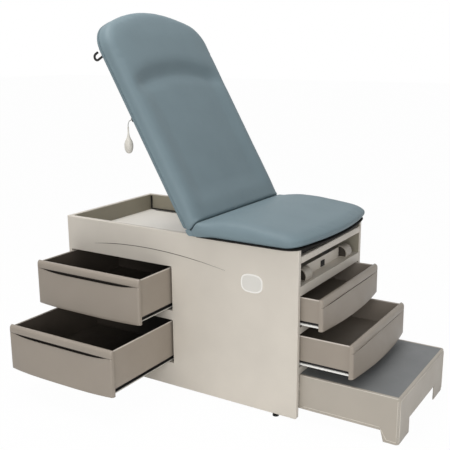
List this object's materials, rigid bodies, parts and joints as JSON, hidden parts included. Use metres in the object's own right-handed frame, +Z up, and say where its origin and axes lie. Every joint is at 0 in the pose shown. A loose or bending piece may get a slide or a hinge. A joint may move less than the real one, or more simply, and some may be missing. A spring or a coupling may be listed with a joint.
{
  "type": "examination table with storage",
  "caption": "Examination table with a raised padded backrest, storage drawers at side and foot, pull-out step, stowed stirrups, sliding leg rest and head-end storage well.",
  "frame": {"origin": "on the floor, at the middle of the whole outline seen from above, drawers and step as stored", "axes": "+X towards the foot end and the step, +Y away from the side drawers, +Z up"},
  "size_m": [1.683, 1.145, 1.6957],
  "materials": {
    "cabinet_paint": "light warm grey powder coat",
    "inner_sheet": "plain inner sheet",
    "well_sheet": "pale powder coat",
    "steel": "black powder coat",
    "zinc": "zinc plated",
    "runner_white": "white epoxy",
    "drawer_front": "taupe moulded front",
    "drawer_box": "taupe brown powder coat",
    "step_body": "taupe powder coat",
    "step_tread": "grey ribbed mat",
    "nylon": "white nylon",
    "black_plastic": "black",
    "board": "black painted plywood",
    "vinyl": "grey-blue vinyl-coated upholstery",
    "hook_black": "black paint",
    "chrome_rod": "polished",
    "cup_light": "light powder coat",
    "cable_grey": "grey sheath",
    "handle_white": "off-white",
    "plaque": "blank plate"
  },
  "bodies": {
    "cabinet": {"base_pan": "inner_sheet", "bay_panel": "cabinet_paint", "bay_tray": "cabinet_paint", "blank_plaque": "plaque", "centre_bulkhead": "inner_sheet", "cross_beams": "steel", "far_side_panel": "cabinet_paint", "foot_glides": "black_plastic", "front_drawer_rails": "runner_white", "front_rails": "cabinet_paint", "head_panel": "cabinet_paint", "hinge_brackets": "steel", "inner_liners": "inner_sheet", "leg_rest_channels": "inner_sheet", "near_side_panel": "cabinet_paint", "seat_board": "board", "seat_pad": "vinyl", "side_drawer_rails": "zinc", "spring_base_fork": "zinc", "step_rails": "zinc", "stirrup_sleeves": "steel", "switch_frame": "black_plastic", "well_tray": "well_sheet"},
    "backrest": {"back_pad": "vinyl", "back_board": "board", "back_arms": "steel", "hinge_pins": "zinc", "back_crossbars": "steel", "spring_top_fork": "zinc", "paper_hooks": "hook_black", "cable_gland": "black_plastic"},
    "gas_spring_tube": {"spring_tube": "steel"},
    "gas_spring_rod": {"spring_rod": "chrome_rod"},
    "release_pull": {"release_cable": "cable_grey", "pull_handle": "handle_white"},
    "step": {"step_shell": "step_body", "step_tread": "step_tread", "step_shoes": "nylon"},
    "leg_rest": {"leg_rest_pan": "cabinet_paint", "leg_rest_front": "cabinet_paint"},
    "power_switch": {"switch_rocker": "black_plastic"},
    "near_stirrup": {"near_stirrup_arm": "zinc"},
    "near_foot_cup": {"near_stirrup_cup": "cup_light", "near_stirrup_cheeks": "black_plastic"},
    "far_stirrup": {"far_stirrup_arm": "zinc"},
    "far_foot_cup": {"far_stirrup_cup": "cup_light", "far_stirrup_cheeks": "black_plastic"},
    "upper_side_drawer": {"upper_side_drawer_front": "drawer_front", "upper_side_drawer_box": "drawer_box", "upper_side_drawer_runners": "runner_white"},
    "lower_side_drawer": {"lower_side_drawer_front": "drawer_front", "lower_side_drawer_box": "drawer_box", "lower_side_drawer_runners": "runner_white"},
    "upper_front_drawer": {"upper_front_drawer_front": "drawer_front", "upper_front_drawer_box": "drawer_box", "upper_front_drawer_runners": "runner_white"},
    "lower_front_drawer": {"lower_front_drawer_front": "drawer_front", "lower_front_drawer_box": "drawer_box", "lower_front_drawer_runners": "runner_white"}
  },
  "joints": [
    {"name": "back_recline", "type": "hinge", "parent": "cabinet", "child": "backrest", "pos_m": [-0.0855, 0.1965, 0.778], "axis": [0, 1, 0], "range_deg": [-60, 6]},
    {"name": "spring_tube_swing", "type": "hinge", "parent": "cabinet", "child": "gas_spring_tube", "pos_m": [-0.0855, 0.1965, 0.498], "axis": [0, 1, 0], "range_deg": [-30.5, 3.5]},
    {"name": "spring_rod_swing", "type": "hinge", "parent": "backrest", "child": "gas_spring_rod", "pos_m": [-0.28534, 0.1965, 0.97413], "axis": [0, 1, 0], "range_deg": [-3.5, 30.5]},
    {"name": "pull_hang", "type": "hinge", "parent": "backrest", "child": "release_pull", "pos_m": [-0.38458, -0.1655, 1.23002], "axis": [0, 1, 0], "range_deg": [-6.5, 60.5]},
    {"name": "upper_side_drawer_slide", "type": "slide", "parent": "cabinet", "child": "upper_side_drawer", "axis": [0, -1, 0], "range_m": [-0.232, 0.228]},
    {"name": "lower_side_drawer_slide", "type": "slide", "parent": "cabinet", "child": "lower_side_drawer", "axis": [0, -1, 0], "range_m": [-0.421, 0.039]},
    {"name": "upper_front_drawer_slide", "type": "slide", "parent": "cabinet", "child": "upper_front_drawer", "axis": [1, 0, 0], "range_m": [-0.1, 0.26]},
    {"name": "lower_front_drawer_slide", "type": "slide", "parent": "cabinet", "child": "lower_front_drawer", "axis": [1, 0, 0], "range_m": [-0.237, 0.123]},
    {"name": "step_slide", "type": "slide", "parent": "cabinet", "child": "step", "axis": [1, 0, 0], "range_m": [-0.435, 0]},
    {"name": "leg_rest_slide", "type": "slide", "parent": "cabinet", "child": "leg_rest", "axis": [1, 0, 0], "range_m": [0, 0.34]},
    {"name": "near_stirrup_slide", "type": "slide", "parent": "cabinet", "child": "near_stirrup", "axis": [1, 0, 0], "range_m": [0, 0.28]},
    {"name": "near_cup_tilt", "type": "hinge", "parent": "near_stirrup", "child": "near_foot_cup", "pos_m": [0.362, -0.0105, 0.61], "axis": [0, 1, 0], "range_deg": [-60, 0]},
    {"name": "far_stirrup_slide", "type": "slide", "parent": "cabinet", "child": "far_stirrup", "axis": [1, 0, 0], "range_m": [0, 0.28]},
    {"name": "far_cup_tilt", "type": "hinge", "parent": "far_stirrup", "child": "far_foot_cup", "pos_m": [0.362, 0.4035, 0.61], "axis": [0, 1, 0], "range_deg": [-60, 0]},
    {"name": "switch_tilt", "type": "hinge", "parent": "cabinet", "child": "power_switch", "pos_m": [0.3555, 0.1965, 0.6085], "axis": [0, 1, 0], "range_deg": [-6, 6]}
  ],
  "couplings": [
    {"joint": "spring_tube_swing", "follows": "back_recline", "ratio": 0.5},
    {"joint": "spring_rod_swing", "follows": "back_recline", "ratio": -0.5},
    {"joint": "pull_hang", "follows": "back_recline", "ratio": -1}
  ]
}
